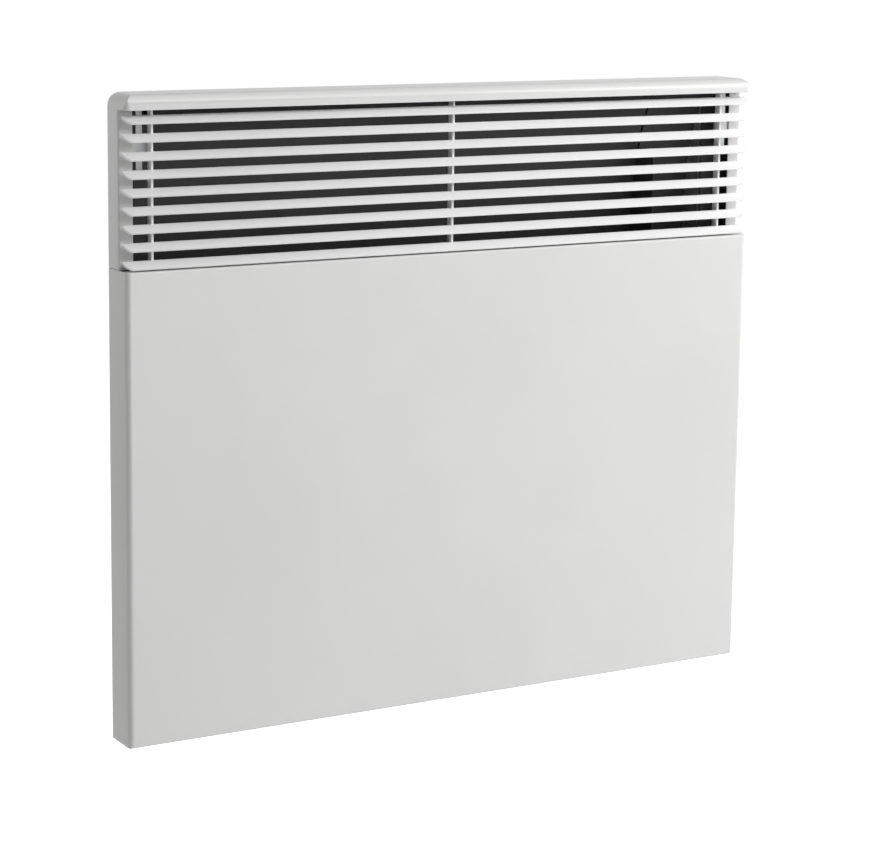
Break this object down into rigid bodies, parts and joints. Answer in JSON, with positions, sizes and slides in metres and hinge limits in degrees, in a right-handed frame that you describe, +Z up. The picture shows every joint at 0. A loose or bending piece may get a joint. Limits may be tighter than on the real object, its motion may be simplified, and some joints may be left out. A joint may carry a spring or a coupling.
{
  "type": "wall panel convector heater",
  "caption": "Slim wall-hung electric convector: plain sheet front panel, horizontal louvre under a rounded top, rear tray on a wall bracket, side controls.",
  "frame": {"origin": "on the wall face of the bracket's upper bar, midway along it; the wall is the plane y = 0", "axes": "+Z up, +Y into the wall, +X to the right of someone facing the heater"},
  "size_m": [0.503, 0.08, 0.44],
  "materials": {
    "casing_paint": "smooth satin off-white powder coat",
    "grille_plastic": "satin off-white moulding",
    "zinc_sheet": "zinc-coated sheet steel",
    "black_sheet": "matte heat-resistant black paint on sheet steel",
    "aluminium_sheet": "plain mill finish",
    "brass_part": "plain",
    "ceramic": null,
    "controls_plastic": "fine-grained moulding",
    "knob_plastic": "satin moulding",
    "dark_plastic": "matte moulding",
    "circuit_board": "lacquered laminate",
    "lens_plastic": "clear tinted moulding",
    "grommet_rubber": "soft matte",
    "lead_brown": "silicone insulation",
    "lead_blue": "silicone insulation",
    "lead_white": "glass-braid insulation",
    "lead_green": "silicone insulation, green and yellow"
  },
  "bodies": {
    "heater": {"front_panel": "casing_paint", "top_housing": "casing_paint", "louvre_grille": "grille_plastic", "grille_clip_left": "zinc_sheet", "grille_clip_right": "zinc_sheet", "rear_tray": "zinc_sheet", "inlet_grille": "zinc_sheet", "heat_shield": "aluminium_sheet", "air_deflector": "black_sheet", "bay_cover": "black_sheet", "end_baffle_left": "black_sheet", "end_baffle_right": "black_sheet", "control_partition": "black_sheet", "partition_grommet_upper": "grommet_rubber", "partition_grommet_lower": "grommet_rubber", "heating_element": "aluminium_sheet", "element_support_left": "zinc_sheet", "element_support_right": "zinc_sheet", "element_bush_left": "ceramic", "element_bush_right": "ceramic", "overheat_cutout": "dark_plastic", "control_module": "controls_plastic", "pilot_lens": "lens_plastic", "control_board": "circuit_board", "potentiometer": "dark_plastic", "pilot_lamp": "lens_plastic", "switch_contacts": "dark_plastic", "relay": "dark_plastic", "room_sensor": "dark_plastic", "sensor_clip": "dark_plastic", "terminal_block": "ceramic", "terminal_screw_1": "brass_part", "terminal_screw_2": "brass_part", "terminal_screw_3": "brass_part", "earth_screw": "brass_part", "cable_gland": "dark_plastic", "gland_nut": "dark_plastic", "supply_lead": "lead_brown", "switched_lead": "lead_brown", "element_lead": "lead_white", "return_lead": "lead_blue", "earth_lead": "lead_green", "sensor_lead": "dark_plastic", "wall_bracket": "zinc_sheet", "latch_pin_left": "zinc_sheet", "latch_pin_right": "zinc_sheet", "panel_screw_low_left": "zinc_sheet", "panel_screw_high_left": "zinc_sheet", "housing_screw_left": "zinc_sheet", "panel_screw_low_right": "zinc_sheet", "panel_screw_high_right": "zinc_sheet", "housing_screw_right": "zinc_sheet"},
    "knob": {"thermostat_knob": "knob_plastic", "thermostat_shaft": "brass_part"},
    "rocker": {"on_off_rocker": "knob_plastic"},
    "latch_left": {"latch_left": "dark_plastic"},
    "latch_right": {"latch_right": "dark_plastic"}
  },
  "joints": [
    {"name": "thermostat_turn", "type": "hinge", "parent": "heater", "child": "knob", "pos_m": [0.25, -0.0645, -0.086], "axis": [1, 0, 0], "range_deg": [-135, 135]},
    {"name": "rocker_press", "type": "hinge", "parent": "heater", "child": "rocker", "pos_m": [0.249, -0.0645, -0.122], "axis": [0, 1, 0], "range_deg": [-16, 0]},
    {"name": "latch_left_turn", "type": "hinge", "parent": "heater", "child": "latch_left", "pos_m": [-0.098, -0.018, 0], "axis": [0, 1, 0], "range_deg": [-90, 0]},
    {"name": "latch_right_turn", "type": "hinge", "parent": "heater", "child": "latch_right", "pos_m": [0.098, -0.018, 0], "axis": [0, 1, 0], "range_deg": [0, 90]}
  ]
}
